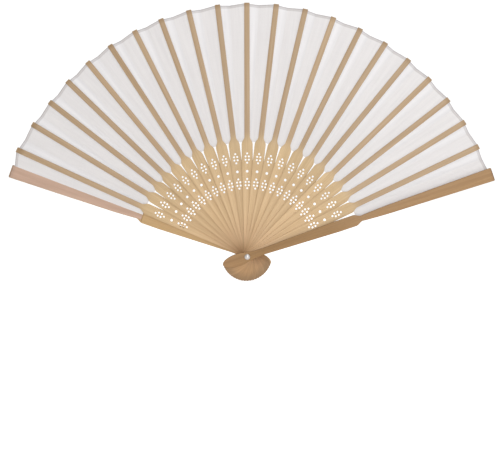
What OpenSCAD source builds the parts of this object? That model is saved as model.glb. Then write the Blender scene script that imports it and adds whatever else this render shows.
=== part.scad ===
// Folding hand fan: pierced wooden sticks and a pleated silk leaf on one rivet.
// The origin is on the rivet's axis, in the middle of the middle stick. +X is to the
// right, +Y to the back and +Z up the middle stick. The fan is drawn fully open,
// seen from the side that its sticks show on, and each stick lies one pitch nearer
// to the front than the stick on its left.

/* [Fan] */
// Inner sticks between the two guards, an odd number
stick_count = 21; // [15:2:25]
// Mean angle between neighbouring sticks when the fan is open, in degrees
stick_step = 6.465; // [5.5:0.005:7]
// How far the sticks halfway to each guard lean out from an even spread, in degrees
spread_lean = 0.77; // [0:0.01:1]
// How much further out the first stick leans; the second leans a quarter of that, in degrees
first_lean = 0.7; // [0:0.05:1.5]
// Angle from the last stick to the front guard, in degrees
front_gap = 6.85; // [5.5:0.01:8]
// Angle from the first stick to the back guard, in degrees
back_gap = 5.07; // [5:0.01:8]
// Depth that each stick takes up in the stack
pitch = 0.85; // [0.8:0.01:1.2]
// Play between one stick's face and the next
play = 0.1; // [0.05:0.01:0.15]

/* [Gorge] */
// Length of the rounded head below the rivet
head_drop = 19.3; // [14:0.5:22]
// Width of the rounded head
head_width = 9.4; // [8:0.1:11]
// Width of the neck above the rivet
neck_width = 4.9; // [4:0.1:6]
// Height of the neck above the rivet
neck_height = 14; // [10:0.5:20]
// Width of the gorge at its shoulder
shoulder_width = 8.5; // [7:0.1:9]
// Height at which the shoulder starts to round in
shoulder_height = 85.4; // [75:0.1:90]

/* [Ribs] */
// Length from the rivet to a stick's tip
stick_reach = 193.5; // [160:0.5:220]
// How much further the first stick reaches; the second one reaches half of that further
first_extra = 3; // [0:0.1:4]
// Width of the plain rib that carries the leaf
rib_width = 4.1; // [3:0.1:5]
// Thickness of the rib where the leaf is glued behind it
rib_thickness = 0.4; // [0.3:0.05:0.5]
// Height at which the plain rib starts
rib_height = 91; // [84:0.1:96]

/* [Guards] */
// Length from the rivet to a guard's tip
guard_reach = 195; // [160:0.5:225]
// Thickness of a guard
guard_thickness = 2.2; // [1.6:0.1:3]
// Width of a guard just above its shoulder
guard_neck_width = 4.2; // [3.5:0.1:6]
// Width of a guard a third of the way up the leaf
guard_blade_width = 6.8; // [5:0.1:8]
// Width of a guard at its tip
guard_tip_width = 10.2; // [8:0.1:12]
// Depth of the recess that takes the leaf's end strip
guard_recess = 0.3; // [0.2:0.05:0.5]

/* [Piercing] */
// Diameter of the small holes that make up a flower
petal_hole = 1.5; // [1:0.1:1.6]
// Diameter of the single hole between the two flowers
centre_hole = 2; // [1.5:0.1:2.4]
// Height of the upper flower's middle
upper_flower = 74.7; // [70:0.1:78]
// Height of the single hole
centre_height = 64.6; // [60:0.1:68]
// Height of the lower flower's middle
lower_flower = 55.2; // [50:0.1:58]

/* [Leaf] */
// Radius of the leaf's inner edge
leaf_inner = 87; // [86:0.1:95]
// Radius of the leaf's outer edge at the sticks
leaf_outer = 193; // [160:0.5:220]
// How far the outer edge dips between two sticks
leaf_dip = 0.9; // [0:0.1:2]
// Thickness of the silk
silk = 0.2; // [0.1:0.05:0.25]

/* [Rivet] */
// Diameter of the rivet's shank
shank = 2; // [1.6:0.1:2.6]
// Radial clearance of the sticks on the shank
rivet_clearance = 0.05; // [0.02:0.01:0.1]
// Diameter of the domed head
dome_width = 4.3; // [3.2:0.1:5]
// Height of the domed head
dome_height = 1.1; // [0.8:0.1:1.5]
// Diameter of the washer that is sunk in the back guard
washer_width = 5; // [4:0.1:6]
// Thickness of the washer
washer_thickness = 0.5; // [0.3:0.1:0.8]

/* [Hidden] */
$fn = 48;
middle = (stick_count + 1) / 2;
stick_thickness = pitch - play;
head_middle = -7.6;
head_half_length = head_drop + head_middle;
head_merge_angle = 30;
gorge_height = 72;
blade_height = 118;
leaf_step = leaf_inner - 0.6;
// y of the faces between the guards and the sticks
guard_inner_y = (middle - 0.5) * pitch + play / 2;
guard_outer_y = guard_inner_y + guard_thickness;
petal_rise = 3.55;
petal_row = 1.25;
petal_side = 1.25;
silk_inset = 0.3;

function two_digits(k) = k < 10 ? str("0", k) : str(k);
function stick_name(k) = str("stick_", two_digits(k));
function pleat_name(k) = str("pleat_", two_digits(k));

// Angle of a stick from upright; 0 is the back guard and stick_count + 1 the front one
function stick_angle(k) =
    k == 0 ? stick_angle(1) - back_gap :
    k > stick_count ? stick_angle(stick_count) + front_gap :
    (k - middle) * stick_step + spread_lean * sin(180 * (k - middle) / (middle - 1))
    - first_lean * max(0, 3 - k) ^ 2 / 4;

// How much further than the others a stick and the leaf on it reach
function extra(k) = k == 0 ? 0 : first_extra * max(0, 3 - k) / 2;

// y of the middle of a stick in the stack
function stick_y(k) = (middle - k) * pitch;

// Half width between two heights, as a cubic with a given slope at each end
function eased(z, z0, w0, s0, z1, w1, s1) =
    let (h = z1 - z0, t = (z - z0) / h)
    (2 * t ^ 3 - 3 * t ^ 2 + 1) * w0 + (t ^ 3 - 2 * t ^ 2 + t) * h * s0
    + (3 * t ^ 2 - 2 * t ^ 3) * w1 + (t ^ 3 - t ^ 2) * h * s1;

// The right edge of the head, from its tip up to where the neck starts
function head_edge() = [
    for (a = [-90:10:head_merge_angle])
        [head_width / 2 * cos(a), head_middle + head_half_length * sin(a)]
];

// The right edge of the neck, which curves in from the head
function neck_edge() =
    let (
        z0 = head_middle + head_half_length * sin(head_merge_angle),
        w0 = head_width / 2 * cos(head_merge_angle),
        s0 = -head_width / 2 / head_half_length * tan(head_merge_angle),
        s1 = (shoulder_width - neck_width) / 2 / (gorge_height - neck_height)
    )
    [for (i = [1:8])
        let (z = z0 + (neck_height - z0) * i / 8)
        [eased(z, z0, w0, s0, neck_height, neck_width / 2, s1), z]];

// The right edge of the shoulder, from the gorge in to a blade of half width w
function shoulder_edge(w) = concat(
    [[shoulder_width / 2, gorge_height]],
    [for (i = [0:8])
        let (z = shoulder_height + (rib_height - shoulder_height) * i / 8)
        [eased(z, shoulder_height, shoulder_width / 2, 0, rib_height, w, 0), z]]
);

// Half width of a guard's blade, which widens fast above the shoulder and then slowly
function blade_half(z) =
    let (slope = (guard_tip_width - guard_blade_width) / 2 / (guard_reach - blade_height))
    z > blade_height ? guard_blade_width / 2 + (z - blade_height) * slope :
    eased(z, rib_height, guard_neck_width / 2, 0.08, blade_height, guard_blade_width / 2, slope);

function blade_edge() = concat(
    [for (z = [rib_height + 4:6:blade_height]) [blade_half(z), z]],
    [[guard_tip_width / 2 - 0.05, guard_reach - 0.6], [guard_tip_width / 2 - 0.6, guard_reach]]
);

function rib_edge(k) = [
    [rib_width / 2, stick_reach + extra(k) - 0.25],
    [rib_width / 2 - 0.25, stick_reach + extra(k)]
];

// A closed outline from its right edge, whose first point is the tip of the head
function both_sides(edge) = concat(
    edge,
    [for (i = [len(edge) - 1:-1:1]) [-edge[i][0], edge[i][1]]]
);

// A flat plate from an outline in X and Z, between two depths
module plate(y_front, y_back) {
    translate([0, y_back, 0])
        rotate([90, 0, 0])
            linear_extrude(y_back - y_front)
                children();
}

module turned(k) {
    rotate([0, stick_angle(k), 0])
        children();
}

// A hole through the whole stack at a place on a stick
module through_hole(x, z, d) {
    translate([x, 0, z])
        rotate([90, 0, 0])
            cylinder(h = 3 * guard_outer_y, d = d, center = true);
}

// Six small holes in rows of one, two, two and one
module flower(z) {
    for (side = [-1, 1]) {
        through_hole(0, z + side * petal_rise, petal_hole);
        for (row = [-1, 1])
            through_hole(side * petal_side, z + row * petal_row, petal_hole);
    }
}

// An inner stick: head, pierced gorge and thin rib, in one piece of wood
module stick(k) {
    y = stick_y(k);
    y_front = y - stick_thickness / 2;
    color("burlywood")
        turned(k)
            difference() {
                plate(y_front, y_front + stick_thickness)
                    polygon(both_sides(concat(
                        head_edge(), neck_edge(), shoulder_edge(rib_width / 2), rib_edge(k))));
                translate([-rib_width, y_front + rib_thickness, leaf_step])
                    cube([2 * rib_width, stick_thickness, stick_reach]);
                through_hole(0, 0, shank + 2 * rivet_clearance);
                flower(upper_flower);
                through_hole(0, centre_height, centre_hole);
                flower(lower_flower);
            }
}

// A guard: the same outline with a wide blade. side is -1 in front and 1 at the back
module guard(side) {
    k = side < 0 ? stick_count + 1 : 0;
    near_y = side < 0 ? -guard_outer_y : guard_inner_y;
    recess_y = side < 0 ? -guard_inner_y - guard_recess : guard_inner_y - guard_recess;
    turned(k)
        difference() {
            plate(near_y, near_y + guard_thickness)
                polygon(both_sides(concat(
                    head_edge(), neck_edge(), shoulder_edge(guard_neck_width / 2), blade_edge())));
            translate([-guard_tip_width, recess_y, leaf_step])
                cube([2 * guard_tip_width, 2 * guard_recess, guard_reach]);
            through_hole(0, 0, shank + 2 * rivet_clearance);
            children();
        }
}

module guard_front() {
    color("peru")
        guard(-1);
}

// The back guard has a round seat in its outer face for the rivet's washer
module guard_back() {
    color("tan")
        guard(1)
            translate([0, guard_outer_y + 1, 0])
                rotate([90, 0, 0])
                    cylinder(h = 1 + washer_thickness + play, d = washer_width + 2 * play);
}

// One pleat of the leaf, flat as when it is open, glued behind stick k. It runs from the
// stick's left edge to the next stick's left edge. next_half is the next one's half width
module pleat_sheet(k, next_half) {
    gap = stick_angle(k + 1) - stick_angle(k);
    function left(r) = -asin(rib_width / 2 / r);
    function right(r) = gap - asin(next_half / r);
    function at(r, a) = [r * sin(a), r * cos(a)];
    inner = [for (i = [0:4]) at(leaf_inner, left(leaf_inner) * (4 - i) / 4 + right(leaf_inner) * i / 4)];
    rim = leaf_outer + extra(k);
    next_rim = leaf_outer + extra(k + 1);
    crease = (left(rim) + right(next_rim)) / 2;
    polygon(concat(
        inner,
        [at(next_rim, right(next_rim)), at((rim + next_rim) / 2 - leaf_dip, crease), at(rim, left(rim))]
    ));
}

// The edge of the leaf's end strip, which covers a guard's inner face inside its edges
function strip_edge(side) = [
    for (z = [leaf_inner, 100, 110, blade_height, leaf_outer])
        [side * (blade_half(z) - silk_inset), z]
];

module end_strip() {
    right = strip_edge(1);
    polygon(concat(strip_edge(-1), [for (i = [len(right) - 1:-1:0]) right[i]]));
}

// The first pleat: the strip on the back guard, and the silk that runs on to the first stick
module first_pleat() {
    function at(r, a) = [r * sin(a), r * cos(a)];
    rim = leaf_outer + extra(1);
    right = back_gap - asin(rib_width / 2 / rim);
    right_inner = back_gap - asin(rib_width / 2 / leaf_inner);
    polygon(concat(
        strip_edge(-1),
        [at(leaf_outer, 0), at((leaf_outer + rim) / 2 - leaf_dip, right / 2), at(rim, right)],
        [for (i = [2:-1:0]) at(leaf_inner, right_inner * i / 2)]
    ));
}

// A pleat by its place: 0 starts on the back guard, and the last one is the front guard's strip
module pleat(k) {
    rib_back = stick_y(k) - stick_thickness / 2 + rib_thickness;
    color("ghostwhite")
        turned(k)
            if (k == 0)
                plate(guard_inner_y + guard_recess - silk, guard_inner_y + guard_recess)
                    first_pleat();
            else if (k > stick_count)
                plate(-guard_inner_y - guard_recess, -guard_inner_y - guard_recess + silk)
                    end_strip();
            else
                plate(rib_back, rib_back + silk)
                    pleat_sheet(k, k == stick_count ? 0 : rib_width / 2);
}

// The rivet: a round shank through every stick, with a domed head in front
module rivet() {
    dome_radius = ((dome_width / 2) ^ 2 + dome_height ^ 2) / (2 * dome_height);
    head_y = -guard_outer_y - play / 2;
    color("gainsboro") {
        rotate([-90, 0, 0])
            translate([0, 0, head_y])
                cylinder(h = guard_outer_y - head_y, d = shank);
        intersection() {
            translate([0, head_y - dome_height + dome_radius, 0])
                sphere(dome_radius);
            translate([-dome_width, head_y - 2 * dome_height, -dome_width])
                cube([2 * dome_width, 2 * dome_height, 2 * dome_width]);
        }
    }
}

// The washer that the shank's tail is spread over, flush with the back guard
module rivet_washer() {
    color("silver")
        translate([0, guard_outer_y, 0])
            rotate([90, 0, 0])
                difference() {
                    cylinder(h = washer_thickness, d = washer_width);
                    translate([0, 0, -1])
                        cylinder(h = washer_thickness + 2, d = shank);
                }
}

guard_front();
guard_back();
rivet();
rivet_washer();
for (k = [1:stick_count])
    stick(k);
for (k = [0:stick_count + 1])
    pleat(k);
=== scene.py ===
import math

import bmesh
import bpy
from mathutils import Matrix, Vector


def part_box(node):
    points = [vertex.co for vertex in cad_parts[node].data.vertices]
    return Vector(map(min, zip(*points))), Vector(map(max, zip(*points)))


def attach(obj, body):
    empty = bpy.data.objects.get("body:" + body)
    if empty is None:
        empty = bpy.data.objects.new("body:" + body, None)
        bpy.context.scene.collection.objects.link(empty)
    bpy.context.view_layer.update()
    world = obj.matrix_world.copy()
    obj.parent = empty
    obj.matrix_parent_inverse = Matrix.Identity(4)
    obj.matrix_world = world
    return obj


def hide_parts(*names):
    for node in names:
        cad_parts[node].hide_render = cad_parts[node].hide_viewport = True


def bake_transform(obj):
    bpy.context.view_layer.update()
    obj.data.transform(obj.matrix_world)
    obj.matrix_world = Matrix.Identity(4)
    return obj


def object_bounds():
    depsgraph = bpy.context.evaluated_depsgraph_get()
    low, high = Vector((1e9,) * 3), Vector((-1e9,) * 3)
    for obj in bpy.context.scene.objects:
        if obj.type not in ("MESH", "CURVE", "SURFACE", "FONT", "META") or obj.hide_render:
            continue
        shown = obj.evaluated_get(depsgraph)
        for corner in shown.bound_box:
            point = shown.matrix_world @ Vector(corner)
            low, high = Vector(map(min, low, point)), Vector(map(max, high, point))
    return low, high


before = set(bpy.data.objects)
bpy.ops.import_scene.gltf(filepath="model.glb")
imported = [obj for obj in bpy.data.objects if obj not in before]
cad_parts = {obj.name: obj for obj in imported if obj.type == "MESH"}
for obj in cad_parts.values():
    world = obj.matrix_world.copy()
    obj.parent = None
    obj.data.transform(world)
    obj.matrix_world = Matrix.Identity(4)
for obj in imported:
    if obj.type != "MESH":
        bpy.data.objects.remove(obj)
cad_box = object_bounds()

# Inner sticks. Twenty-one thin slips of pale sandalwood, each with a rounded head, a pierced
# gorge and a plain rib. They are sawn out flat, pierced, and then eased along every edge with
# fine paper. Their colour is darker at the head, most at its foot, at the ribs and at the rib tips.

stick_count = 21
middle_stick = 11
first_even_stick = 3
stick_step = math.radians(6.465)
spread_lean = math.radians(0.77)
first_lean = math.radians(0.7)
back_gap = math.radians(5.07)
front_gap = math.radians(6.85)
stick_pitch = 0.00085
stick_ease = 0.00009


def stick_angle(k):
    """A stick's angle from upright. The sticks halfway to each guard lean out a little, and
    so do the first two."""
    if k == 0:
        return stick_angle(1) - back_gap
    if k > stick_count:
        return stick_angle(stick_count) + front_gap
    way_out = (k - middle_stick) / (middle_stick - 1)
    first_share = max(0, first_even_stick - k) / (first_even_stick - 1)
    even = (k - middle_stick) * stick_step
    return even + spread_lean * math.sin(math.pi * way_out) - first_lean * first_share**2


def body_of_stick(k):
    if k == 0:
        return "guard_back"
    if k > stick_count:
        return "guard_front"
    return f"stick_{k:02d}"


def add(tree, kind, **settings):
    node = tree.nodes.new(kind)
    for name, value in settings.items():
        setattr(node, name, value)
    return node


def new_effect(name, ins, outs):
    """An empty node group, its inner inputs and its inner outputs."""
    group = bpy.data.node_groups.new(name, "ShaderNodeTree")
    for socket_name, kind, value in ins:
        socket = group.interface.new_socket(name=socket_name, in_out="INPUT", socket_type=kind)
        socket.default_value = value
    for socket_name, kind in outs:
        group.interface.new_socket(name=socket_name, in_out="OUTPUT", socket_type=kind)
    return group, add(group, "NodeGroupInput").outputs, add(group, "NodeGroupOutput").inputs


def new_finish(name):
    """An empty material, its node tree and its shader."""
    material = bpy.data.materials.new(name)
    material.use_nodes = True
    return material, material.node_tree, material.node_tree.nodes["Principled BSDF"]


def reckoned(tree, operation, *values):
    """The result of a Math node, whose values are sockets or plain numbers."""
    node = add(tree, "ShaderNodeMath", operation=operation)
    for socket, value in zip(node.inputs, values):
        if isinstance(value, bpy.types.NodeSocket):
            tree.links.new(value, socket)
        else:
            socket.default_value = value
    return node.outputs[0]


def ranged(tree, value, low=0, high=1, to_low=0, to_high=1, **settings):
    """The value, spread from the range low to high over the range to_low to to_high."""
    node = add(tree, "ShaderNodeMapRange", **settings)
    node.inputs["From Min"].default_value = low
    node.inputs["From Max"].default_value = high
    node.inputs["To Min"].default_value = to_low
    node.inputs["To Max"].default_value = to_high
    tree.links.new(value, node.inputs["Value"])
    return node.outputs["Result"]


def mixed(tree, share, under, over, blend_type="MIX"):
    """One colour laid over another by a share. Each is a socket, or plain numbers."""
    node = add(tree, "ShaderNodeMix", data_type="RGBA", blend_type=blend_type)
    for name, value in (("Factor", share), ("A", under), ("B", over)):
        if isinstance(value, bpy.types.NodeSocket):
            tree.links.new(value, node.inputs[name])
        elif name == "Factor":
            node.inputs[name].default_value = value
        else:
            node.inputs[name].default_value = (*value, 1)
    return node.outputs["Result"]


def split(tree, vector):
    parts = add(tree, "ShaderNodeSeparateXYZ")
    tree.links.new(vector, parts.inputs[0])
    return parts.outputs


def streaks(tree, place, seed, stretch, detail, seed_step):
    """Noise that is stretched along the axes, and is another for each seed."""
    scaled = add(tree, "ShaderNodeVectorMath", operation="MULTIPLY")
    scaled.inputs[1].default_value = stretch
    tree.links.new(place, scaled.inputs[0])
    texture = add(tree, "ShaderNodeTexNoise", noise_dimensions="4D")
    texture.inputs["Scale"].default_value = 1
    texture.inputs["Detail"].default_value = detail
    tree.links.new(scaled.outputs[0], texture.inputs["Vector"])
    tree.links.new(reckoned(tree, "MULTIPLY", seed, seed_step), texture.inputs["W"])
    return texture.outputs["Fac"]


def roughen(tree, shader, height, strength, distance):
    """Raises the surface by a height, as a bump of the shader's normal."""
    bump = add(tree, "ShaderNodeBump")
    bump.inputs["Strength"].default_value = strength
    bump.inputs["Distance"].default_value = distance
    tree.links.new(height, bump.inputs["Height"])
    tree.links.new(bump.outputs["Normal"], shader.inputs["Normal"])


def make_wood_grain():
    """Grain that runs up local Z: growth bands, fibres and short pores."""
    group, ins, outs = new_effect(
        "wood_grain",
        [
            ("Place", "NodeSocketVector", (0, 0, 0)),
            ("Seed", "NodeSocketFloat", 0.0),
            ("Pale", "NodeSocketColor", (0.6, 0.4, 0.2, 1)),
            ("Deep", "NodeSocketColor", (0.4, 0.25, 0.1, 1)),
        ],
        [("Color", "NodeSocketColor"), ("Height", "NodeSocketFloat"), ("Fibre", "NodeSocketFloat")],
    )

    def grain_streaks(stretch, detail, seed_step, low, high):
        noise = streaks(group, ins["Place"], ins["Seed"], stretch, detail, seed_step)
        return ranged(group, noise, low, high)

    bands = grain_streaks((300, 300, 9), 3, 3.1, 0.3, 0.7)
    fibres = grain_streaks((1700, 1700, 30), 4, 7.7, 0.32, 0.68)
    pores = grain_streaks((2600, 2600, 190), 2, 5.3, 0.68, 0.76)

    band_share = 0.55
    pore_share = 0.35
    pore_tint = (0.42, 0.30, 0.22)
    fibre_part = reckoned(group, "MULTIPLY", fibres, 1 - band_share)
    tone = reckoned(group, "MULTIPLY_ADD", bands, band_share, fibre_part)
    grained = mixed(group, tone, ins["Deep"], ins["Pale"])
    pored = mixed(
        group, reckoned(group, "MULTIPLY", pores, pore_share), grained, pore_tint, "MULTIPLY"
    )
    group.links.new(pored, outs["Color"])
    group.links.new(reckoned(group, "SUBTRACT", fibres, pores), outs["Height"])
    group.links.new(fibres, outs["Fibre"])
    return group


def make_sawn_edge_and_shade():
    """1 on the sawn sides and in the pierced holes, 0 on the flat faces: where the wood is
    darkened, partly as darker cut wood and partly as painted shade.
    """
    group, ins, outs = new_effect(
        "sawn_edge_and_shade", [("Normal", "NodeSocketVector", (0, 0, 1))], [("Mask", "NodeSocketFloat")]
    )
    flat_face, sawn_side = 0.95, 0.35
    facing = reckoned(group, "ABSOLUTE", split(group, ins["Normal"])["Y"])
    group.links.new(ranged(group, facing, flat_face, sawn_side), outs["Mask"])
    return group


wood_grain = make_wood_grain()
sawn_edge_and_shade = make_sawn_edge_and_shade()


def wood(name, angle, seed, pale, deep, tones, roughness, edge_dark_and_shade):
    """A wood whose grain runs along a stick that is turned by angle. tones are (height, tint)."""
    material, tree, shader = new_finish(name)
    place = add(tree, "ShaderNodeTexCoord").outputs
    upright = add(tree, "ShaderNodeMapping")
    upright.inputs["Rotation"].default_value = (0, -angle, 0)
    tree.links.new(place["Object"], upright.inputs["Vector"])
    grain = add(tree, "ShaderNodeGroup", node_tree=wood_grain)
    grain.inputs["Seed"].default_value = seed
    grain.inputs["Pale"].default_value = (*pale, 1)
    grain.inputs["Deep"].default_value = (*deep, 1)
    tree.links.new(upright.outputs["Vector"], grain.inputs["Place"])

    tint_low, tint_high = -0.02, 0.2
    height = split(tree, upright.outputs["Vector"])["Z"]
    tint = add(tree, "ShaderNodeValToRGB")
    tree.links.new(ranged(tree, height, tint_low, tint_high), tint.inputs["Fac"])
    ramp = tint.color_ramp
    ramp.interpolation = "EASE"
    while len(ramp.elements) > 1:
        ramp.elements.remove(ramp.elements[-1])
    for i, (reach, colour) in enumerate(tones):
        spot = (reach - tint_low) / (tint_high - tint_low)
        element = ramp.elements[0] if i == 0 else ramp.elements.new(spot)
        element.position = spot
        element.color = (*colour, 1)
    tinted = mixed(tree, 1, grain.outputs["Color"], tint.outputs["Color"], "MULTIPLY")

    # The sawn sides and hole walls are darkened: partly the darker cut wood, partly painted shade
    # on faces that turn away from the front.
    edge = add(tree, "ShaderNodeGroup", node_tree=sawn_edge_and_shade)
    tree.links.new(place["Normal"], edge.inputs["Normal"])
    edge_shaded = mixed(tree, edge.outputs["Mask"], tinted, edge_dark_and_shade, "MULTIPLY")
    tree.links.new(edge_shaded, shader.inputs["Base Color"])
    gloss = ranged(
        tree, grain.outputs["Fibre"], to_low=roughness + 0.1, to_high=roughness - 0.06
    )
    tree.links.new(gloss, shader.inputs["Roughness"])
    roughen(tree, shader, grain.outputs["Height"], 0.25, 0.00004)
    return material


def solid(shape, name, smooth_angle=35, sharp_border=False):
    border = [e.index for e in shape.edges if e.is_boundary]
    mesh = bpy.data.meshes.new(name)
    shape.to_mesh(mesh)
    shape.free()
    for polygon in mesh.polygons:
        polygon.use_smooth = True
    mesh.set_sharp_from_angle(angle=math.radians(smooth_angle))
    if sharp_border:
        sharp = mesh.attributes["sharp_edge"]
        for index in border:
            sharp.data[index].value = True
    piece = bpy.data.objects.new(name, mesh)
    bpy.context.scene.collection.objects.link(piece)
    return piece


def eased_copy(node, name, offset, segments):
    """A copy of a sawn piece with its outer edges rounded off by offset."""
    least_turn = 0.9
    shape = bmesh.new()
    shape.from_mesh(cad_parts[node].data)
    bmesh.ops.remove_doubles(shape, verts=shape.verts, dist=0.000001)
    bmesh.ops.dissolve_limit(
        shape, angle_limit=math.radians(0.5), verts=shape.verts, edges=shape.edges
    )
    sharp = [e for e in shape.edges if e.is_manifold and e.calc_face_angle_signed() > least_turn]
    bmesh.ops.bevel(
        shape,
        geom=sharp,
        offset=offset,
        offset_type="OFFSET",
        affect="EDGES",
        segments=segments,
        profile=0.5,
        clamp_overlap=True,
        material=-1,
    )
    bmesh.ops.triangulate(shape, faces=[f for f in shape.faces if len(f.verts) > 4])
    return solid(shape, name)


def repeatable(k):
    """A steady value from 0 to 1 for each stick, so that no two look alike."""
    return (math.sin(k * 12.9898 + 78.233) * 43758.5453) % 1


for k in range(1, stick_count + 1):
    warmth = 0.94 + 0.12 * repeatable(k)
    stick_wood = wood(
        f"stick_wood_{k:02d}",
        stick_angle(k),
        k,
        (0.73 * warmth, 0.525 * warmth, 0.30 * warmth),
        (0.55 * warmth, 0.375 * warmth, 0.195 * warmth),
        [
            (-0.0185, (0.58, 0.51, 0.46)),
            (-0.010, (0.80, 0.69, 0.60)),
            (0.003, (0.88, 0.79, 0.73)),
            (0.016, (1.0, 0.95, 0.96)),
            (0.04, (1.0, 0.98, 0.97)),
            (0.085, (0.93, 0.94, 0.94)),
            (0.097, (0.71, 0.70, 0.76)),
            (0.189, (0.69, 0.68, 0.73)),
            (0.1935, (0.54, 0.50, 0.48)),
        ],
        roughness=0.5,
        edge_dark_and_shade=(0.72, 0.62, 0.52),
    )
    stick = eased_copy(f"stick_{k:02d}", f"sandalwood_stick_{k:02d}", stick_ease, 2)
    stick.data.materials.append(stick_wood)
    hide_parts(f"stick_{k:02d}")
    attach(stick, body_of_stick(k))

# Guards. The two outer sticks are thicker and of browner heartwood, with a wide blade that
# covers the shut leaf. Their long edges are rounded more, and the faces are oiled.

guard_ease = 0.00045

for guard, k, tint, hollow in (
    ("guard_front", stick_count + 1, (0.80, 0.735, 0.71), (0.86, 0.83, 0.71)),
    ("guard_back", 0, (1.2, 1.24, 1.3), (1.0, 1.0, 1.0)),
):
    guard_wood = wood(
        f"{guard}_wood",
        stick_angle(k),
        40 + k,
        [a * b for a, b in zip((0.55, 0.355, 0.165), tint)],
        [a * b for a, b in zip((0.39, 0.235, 0.10), tint)],
        [
            (-0.0185, (0.96, 0.94, 0.92)),
            (0.012, hollow),
            (0.06, hollow),
            (0.088, (1.0, 1.0, 1.0)),
            (0.192, (1.0, 1.0, 1.0)),
            (0.194, (0.92, 0.90, 0.90)),
            (0.195, (0.50, 0.42, 0.36)),
        ],
        roughness=0.52,
        edge_dark_and_shade=(0.42, 0.32, 0.24),
    )
    blade = eased_copy(guard, f"sandalwood_{guard}", guard_ease, 3)
    blade.data.materials.append(guard_wood)
    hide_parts(guard)
    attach(blade, guard)

# Rivet. A pin of white metal through all the heads, with a low polished dome in front. Its
# tail is spread into the washer at the back.

dome_rise = 0.0011
dome_steps = 8
shank_half = 0.001


def turned_piece(name, profile):
    """A round piece from its half profile of (radius, depth) points on the rivet's axis."""
    shape = bmesh.new()
    corners = [shape.verts.new((radius, depth, 0)) for radius, depth in profile]
    edges = [shape.edges.new(pair) for pair in zip(corners, corners[1:])]
    bmesh.ops.spin(
        shape,
        geom=corners + edges,
        cent=(0, 0, 0),
        axis=(0, 1, 0),
        angle=math.tau,
        steps=48,
        use_merge=True,
    )
    bmesh.ops.remove_doubles(shape, verts=shape.verts, dist=0.000002)
    bmesh.ops.recalc_face_normals(shape, faces=shape.faces)
    return solid(shape, name, 40)


def metal(name, colour, roughness):
    """Polished white metal with fine rub marks and a dull bloom."""
    material, tree, shader = new_finish(name)
    shader.inputs["Metallic"].default_value = 1
    place = add(tree, "ShaderNodeTexCoord").outputs["Object"]
    bloom = add(tree, "ShaderNodeTexNoise")
    bloom.inputs["Scale"].default_value = 1400
    bloom.inputs["Detail"].default_value = 4
    tree.links.new(place, bloom.inputs["Vector"])
    dull = [c * 0.82 for c in colour]
    tree.links.new(mixed(tree, bloom.outputs["Fac"], dull, colour), shader.inputs["Base Color"])
    gloss = ranged(
        tree, bloom.outputs["Fac"], to_low=roughness - 0.08, to_high=roughness + 0.12
    )
    tree.links.new(gloss, shader.inputs["Roughness"])
    rubbed = add(tree, "ShaderNodeMapping")
    rubbed.inputs["Scale"].default_value = (300, 300, 6000)
    rubbed.inputs["Rotation"].default_value = (0, 0.7, 0)
    tree.links.new(place, rubbed.inputs["Vector"])
    marks = add(tree, "ShaderNodeTexNoise")
    marks.inputs["Scale"].default_value = 1
    tree.links.new(rubbed.outputs["Vector"], marks.inputs["Vector"])
    roughen(tree, shader, marks.outputs["Fac"], 0.12, 0.00001)
    return material


rivet_metal = metal("rivet_metal", (0.80, 0.77, 0.75), 0.4)
low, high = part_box("rivet")
dome_top = low[1]
dome_half = high[0]
tail = high[1]
dome_foot = dome_top + dome_rise + 0.00002
dome_round = (dome_half**2 + dome_rise**2) / (2 * dome_rise)
dome = []
for i in range(dome_steps + 1):
    lean = math.asin(dome_half / dome_round) * i / dome_steps
    dome.append((dome_round * math.sin(lean), dome_top + dome_round * (1 - math.cos(lean))))
rivet = turned_piece(
    "rivet_pin",
    [
        *dome,
        (dome_half - 0.00008, dome_foot),
        (shank_half + 0.00005, dome_foot),
        (shank_half, dome_foot + 0.00008),
        (shank_half, tail - 0.0001),
        (shank_half - 0.0001, tail),
        (0, tail),
    ],
)
rivet.data.materials.append(rivet_metal)
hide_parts("rivet")
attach(rivet, "stick_11")

# Rivet washer. A small ring of the same metal, sunk flush in the back guard, that keeps the
# pin's spread tail from pulling into the wood.

ring_bore = 0.00104
low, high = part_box("rivet_washer")
ring_half, ring_front, ring_back = high[0], low[1], high[1]
washer = turned_piece(
    "rivet_ring",
    [
        (ring_bore, ring_front),
        (ring_half - 0.00008, ring_front),
        (ring_half, ring_front + 0.00008),
        (ring_half, ring_back - 0.00015),
        (ring_half - 0.00015, ring_back),
        (ring_bore + 0.00011, ring_back),
        (ring_bore, ring_back - 0.0001),
        (ring_bore, ring_front),
    ],
)
washer.data.materials.append(rivet_metal)
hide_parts("rivet_washer")
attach(washer, "stick_11")

# Leaf. One length of fine white silk, folded into pleats and glued behind the ribs. On each
# stick a panel runs out from behind the rib to a valley fold, and a second panel comes back
# from the fold to the next rib. The outer edge is turned in as a narrow hem.

leaf_inner = 0.087
leaf_outer = 0.193
leaf_dip = 0.0011
long_rim = 0.0015
rib_half = 0.00205
rib_back = 0.000025
glue_gap = 0.00006
fold_depth = 0.0003
least_width = 0.0101
silk_thick = 0.0001
thread_pitch = 0.00034
# A darker band along the rim: partly the hem's double layer of silk, partly painted shade along the
# turned edge.
hem_and_shade_tint = (0.80, 0.785, 0.78)


def turned(angle, x, y, z):
    """A point of an upright stick, once that stick is turned by angle on the rivet."""
    return Vector((
        x * math.cos(angle) + z * math.sin(angle), y, z * math.cos(angle) - x * math.sin(angle)
    ))


def rim(k):
    """Where the leaf ends on a stick. It was cut a little long at the first two."""
    return leaf_outer + (long_rim * max(0, first_even_stick - k) if k else 0)


def valley_rim(k):
    return (rim(k) + rim(k + 1)) / 2 - leaf_dip


def leaf_depth(k):
    """How deep the leaf lies where it is glued to the back of a stick's rib."""
    return (middle_stick - k) * stick_pitch + rib_back + glue_gap


def stick_line(k):
    """The leaf's fold behind a rib's left edge."""
    return lambda reach: turned(stick_angle(k), -rib_half, leaf_depth(k), reach)


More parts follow.
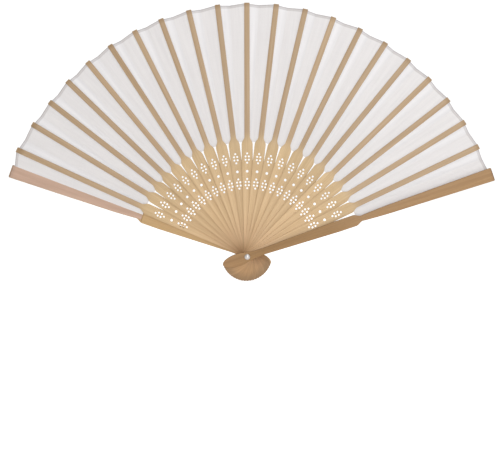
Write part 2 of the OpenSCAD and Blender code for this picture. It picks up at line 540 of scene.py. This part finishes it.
def valley_line(k):
    """The valley fold halfway to the next rib, which lies deeper towards the rim."""
    halfway = (stick_angle(k) + stick_angle(k + 1)) / 2
    slope = fold_depth / (leaf_outer - leaf_inner)
    return lambda reach: turned(
        halfway, -rib_half, leaf_depth(k) + slope * (reach - leaf_inner), reach
    )


def make_silk_weave():
    """Plain weave in metres on the UV map: two masks for the colour, the second one for painted
    shade of soft wrinkles, and a height.
    """
    group, ins, outs = new_effect(
        "silk_weave",
        [("Cloth", "NodeSocketVector", (0, 0, 0)), ("Seed", "NodeSocketFloat", 0.0)],
        [
            ("Slub", "NodeSocketFloat"),
            ("Wrinkle_shade", "NodeSocketFloat"),
            ("Height", "NodeSocketFloat"),
        ],
    )
    warp_slub = streaks(group, ins["Cloth"], ins["Seed"], (3000, 60, 1), 2, 1.7)
    weft_slub = streaks(group, ins["Cloth"], ins["Seed"], (60, 3000, 1), 2, 2.9)
    slub = ranged(group, reckoned(group, "ADD", warp_slub, weft_slub), 0.7, 1.3)
    group.links.new(slub, outs["Slub"])
    crease = streaks(group, ins["Cloth"], ins["Seed"], (420, 26, 1), 3, 4.3)
    group.links.new(ranged(group, crease, 0.3, 0.7), outs["Wrinkle_shade"])

    cloth = split(group, ins["Cloth"])
    warp, weft = [
        reckoned(group, "SINE", reckoned(group, "MULTIPLY", cloth[axis], math.tau / thread_pitch))
        for axis in ("X", "Y")
    ]
    crease_height, thread_height = 6, 0.5
    threads = reckoned(
        group, "MULTIPLY", reckoned(group, "MULTIPLY", warp, weft), thread_height
    )
    group.links.new(
        reckoned(group, "MULTIPLY_ADD", crease, crease_height, threads), outs["Height"]
    )
    return group


silk_weave = make_silk_weave()


def silk(name, seed, light, shaded, hem_and_shade):
    """Silk whose UV map is in metres: x from the valley fold, y down from the rim."""
    material, tree, shader = new_finish(name)
    cloth = add(tree, "ShaderNodeUVMap", uv_map="cloth").outputs["UV"]
    weave = add(tree, "ShaderNodeGroup", node_tree=silk_weave)
    weave.inputs["Seed"].default_value = seed
    tree.links.new(cloth, weave.inputs["Cloth"])
    # Painted shade: soft wrinkles are streaks between the light and the shaded colour.
    crease_shaded = mixed(tree, weave.outputs["Wrinkle_shade"], shaded, light)
    thread_tint = mixed(tree, weave.outputs["Slub"], (0.93, 0.925, 0.92), (1, 1, 1))
    woven = mixed(tree, 0.5, crease_shaded, thread_tint, "MULTIPLY")
    away = split(tree, cloth)

    def band(axis, far, near, tint, under):
        """Tints the cloth from far to near along an axis of the UV map."""
        reach = ranged(tree, away[axis], far, near, interpolation_type="SMOOTHSTEP")
        return mixed(tree, reach, under, tint, "MULTIPLY")

    # Painted shade of the valley fold: the glued panel darkens over its last 3 mm before the fold,
    # and the free panel keeps that tint.
    fold_shaded = band("X", -0.0032, -0.0006, (0.93, 0.925, 0.92), woven)
    # The rim band and the darker line at the very edge: partly the hem's double layer, partly
    # painted shade of the turned edge.
    hem_and_shade_banded = band("Y", 0.0025, 0.0019, hem_and_shade, fold_shaded)
    rim_line_shaded = band("Y", 0.0007, 0.0004, (0.72, 0.71, 0.71), hem_and_shade_banded)
    tree.links.new(rim_line_shaded, shader.inputs["Base Color"])
    gloss = ranged(tree, weave.outputs["Slub"], to_low=0.5, to_high=0.62)
    tree.links.new(gloss, shader.inputs["Roughness"])
    shader.inputs["Sheen Weight"].default_value = 0.15
    shader.inputs["Sheen Roughness"].default_value = 0.4
    roughen(tree, shader, weave.outputs["Height"], 0.5, 0.00005)
    return material


def panel(name, left, right, left_rim, right_rim, fold_side, seed):
    """A strip of silk between two lines that run out from the rivet, and its flat area.
    fold_side is 0 if the valley fold is its left side and 1 if it is its right side."""
    across, along = 8, 48
    wave = 0.00003
    shape = bmesh.new()
    cloth = shape.loops.layers.uv.new("cloth")
    bmesh.ops.create_grid(shape, x_segments=across, y_segments=along, size=0.5, calc_uvs=False)
    away = {}
    for corner in shape.verts:
        u = corner.co.x + 0.5
        v = corner.co.y + 0.5
        outer = left_rim * (1 - u) + right_rim * u
        reach = leaf_inner + (outer - leaf_inner) * v
        start = left(reach)
        end = right(reach)
        spot = start.lerp(end, u)
        ripple = math.sin(7 * v + seed) + 0.6 * math.sin(17 * v + 2.3 * seed + 3 * u)
        spot.y += math.sin(math.pi * u) * wave * v * ripple
        away[corner] = ((end - start).length * (u - fold_side), outer - reach)
        corner.co = spot
    for face in shape.faces:
        for loop in face.loops:
            loop[cloth].uv = away[loop.vert]
    area = sum(face.calc_area() for face in shape.faces)
    piece = solid(shape, name, 60, sharp_border=True)
    wall = piece.modifiers.new("silk", "SOLIDIFY")
    wall.thickness = silk_thick
    wall.offset = 0
    width = max((left(leaf_outer) - right(leaf_outer)).length, least_width)
    return piece, (width, leaf_outer - leaf_inner), area


for k in range(1, stick_count + 1):
    glued, flat, area = panel(
        f"leaf_panel_{k:02d}_glued",
        stick_line(k),
        valley_line(k),
        rim(k),
        valley_rim(k),
        fold_side=1,
        seed=k,
    )
    # The glued and free panels get slightly different silk colours: painted shade of the pleats,
    # whose panels face the light differently.
    glued.data.materials.append(
        silk(f"silk_glued_painted_shade_{k:02d}", k, (0.855, 0.835, 0.84), (0.79, 0.775, 0.785), hem_and_shade_tint)
    )
    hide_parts(f"pleat_{k:02d}")
    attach(glued, body_of_stick(k))

guard_recess = 0.009275
inner_reach, middle_reach, outer_reach = 0.09, 0.14, 0.19


def front_guard_line(reach):
    """Where the last panel is glued behind the front guard."""
    return turned(stick_angle(stick_count + 1), -rib_half, -guard_recess + 0.00022, reach)


def back_guard_line(reach):
    """The fold along the right edge of the back guard's blade."""
    neck_half, blade_half = 0.0022, 0.0047
    way_out = (reach - inner_reach) / (leaf_outer - inner_reach)
    half = neck_half + (blade_half - neck_half) * way_out
    return turned(stick_angle(0), half, guard_recess - 0.00012, reach)


for k in range(0, stick_count + 1):
    left = valley_line(k) if k else back_guard_line
    right = stick_line(k + 1) if k < stick_count else front_guard_line
    free, flat, area = panel(
        f"leaf_panel_{k:02d}_free",
        left,
        right,
        valley_rim(k) if k else leaf_outer,
        rim(k + 1) if k < stick_count else leaf_outer,
        fold_side=0,
        seed=30 + k,
    )
    # These colours pair with the glued panels' as painted shade of the pleats.
    free.data.materials.append(
        silk(f"silk_free_{k:02d}", 50 + k, (0.865, 0.84, 0.835), (0.81, 0.785, 0.785), hem_and_shade_tint)
    )
    along_left = left(outer_reach) - left(inner_reach)
    along_right = right(outer_reach) - right(inner_reach)
    side = along_right.cross(along_left).normalized()
    start = left(middle_reach)
    lift = (right(middle_reach) - start).dot(side)
    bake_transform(free)

# Leaf ends. The first and the last half pleat are glued flat on the guards' inner faces. The
# silk is thin, so the brown wood shows through it.

end_rim = 0.1944
end_margin = 0.0003


def guard_half(reach):
    """Half the width of a guard's blade, which widens fast at first and then slowly."""
    neck, neck_half, neck_slope = 0.091, 0.0021, 0.08
    foot, foot_half = 0.118, 0.0034
    tip, tip_half = 0.195, 0.0051
    blade_slope = (tip_half - foot_half) / (tip - foot)
    if reach > foot:
        return foot_half + (reach - foot) * blade_slope
    rise = foot - neck
    t = max(reach - neck, 0) / rise
    from_neck = (2 * t**3 - 3 * t**2 + 1) * neck_half + (t**3 - 2 * t**2 + t) * rise * neck_slope
    to_foot = (3 * t**2 - 2 * t**3) * foot_half + (t**3 - t**2) * rise * blade_slope
    return from_neck + to_foot


def end_line(k, side, depth):
    return lambda reach: turned(
        stick_angle(k), side * (guard_half(reach) - end_margin), depth, reach
    )


for k, depth in ((0, guard_recess - 0.0001), (stick_count + 1, -guard_recess + 0.0001)):
    strip, _, area = panel(
        f"leaf_end_{k:02d}",
        end_line(k, -1, depth),
        end_line(k, 1, depth),
        end_rim,
        end_rim,
        fold_side=0,
        seed=k,
    )
    strip.data.materials.append(
        silk(
            f"silk_end_{k:02d}",
            90 + k,
            (0.655, 0.445, 0.335),
            (0.55, 0.365, 0.265),
            (0.9, 0.9, 0.9),
        )
    )
    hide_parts(f"pleat_{k:02d}")
    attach(strip, body_of_stick(k))

# Studio. The fan stands on a plain white table under soft white light. The main light is broad
# and stands in front, a little to the right; a second one shines down, and table and room glow.

table_top = cad_box[0][2] - 0.0003
shape = bmesh.new()
bmesh.ops.create_grid(shape, x_segments=1, y_segments=1, size=4)
bmesh.ops.translate(shape, verts=shape.verts, vec=(0, 0, table_top))
table = solid(shape, "table")
table_paint, tree, paint = new_finish("table_paint")
paint.inputs["Base Color"].default_value = (0.9, 0.9, 0.9, 1)
paint.inputs["Roughness"].default_value = 0.9
paint.inputs["Emission Color"].default_value = (1, 1, 1, 1)
seen_table = add(tree, "ShaderNodeLightPath").outputs["Is Camera Ray"]
tree.links.new(
    ranged(tree, seen_table, to_low=0.35, to_high=0.75), paint.inputs["Emission Strength"]
)
table.data.materials.append(table_paint)

world = bpy.data.worlds.new("white_room")
bpy.context.scene.world = world
world.use_nodes = True
tree = world.node_tree
room = tree.nodes["Background"]
room.inputs["Color"].default_value = (1, 1, 1, 1)
seen_room = add(tree, "ShaderNodeLightPath").outputs["Is Camera Ray"]
tree.links.new(ranged(tree, seen_room, to_low=0.45, to_high=1.05), room.inputs["Strength"])


def lamp(name, spot, power):
    """A round lamp that is turned towards the middle of the fan."""
    light = bpy.data.lights.new(name, "AREA")
    light.shape = "DISK"
    light.size = 0.8
    light.energy = power
    holder = bpy.data.objects.new(name, light)
    aim = Vector((0, 0, 0.09)) - Vector(spot)
    turn = aim.to_track_quat("-Z", "Y").to_matrix().to_4x4()
    holder.matrix_world = Matrix.Translation(spot) @ turn
    bpy.context.scene.collection.objects.link(holder)


lamp("main_lamp", (0.35, -1.05, 0.4), 4.4)
lamp("top_lamp", (0.2, -0.5, 1.1), 2)

frame_width = 497
camera_data = bpy.data.cameras.new("camera")
camera_data.sensor_width = 36
camera_data.lens = 864.5 / frame_width * camera_data.sensor_width
camera_data.shift_x = -7.5 / frame_width
camera_data.shift_y = -46.5 / frame_width
camera_data.clip_start = 0.01
camera = bpy.data.objects.new("camera", camera_data)
camera.matrix_world = (
    Matrix.Translation((0.00669, -0.6612, 0.0533))
    @ Matrix.Rotation(math.radians(90), 4, "X")
    @ Matrix.Rotation(math.radians(-0.12), 4, "Z")
)
bpy.context.scene.collection.objects.link(camera)
bpy.context.scene.camera = camera
bpy.context.scene.view_settings.view_transform = "Standard"
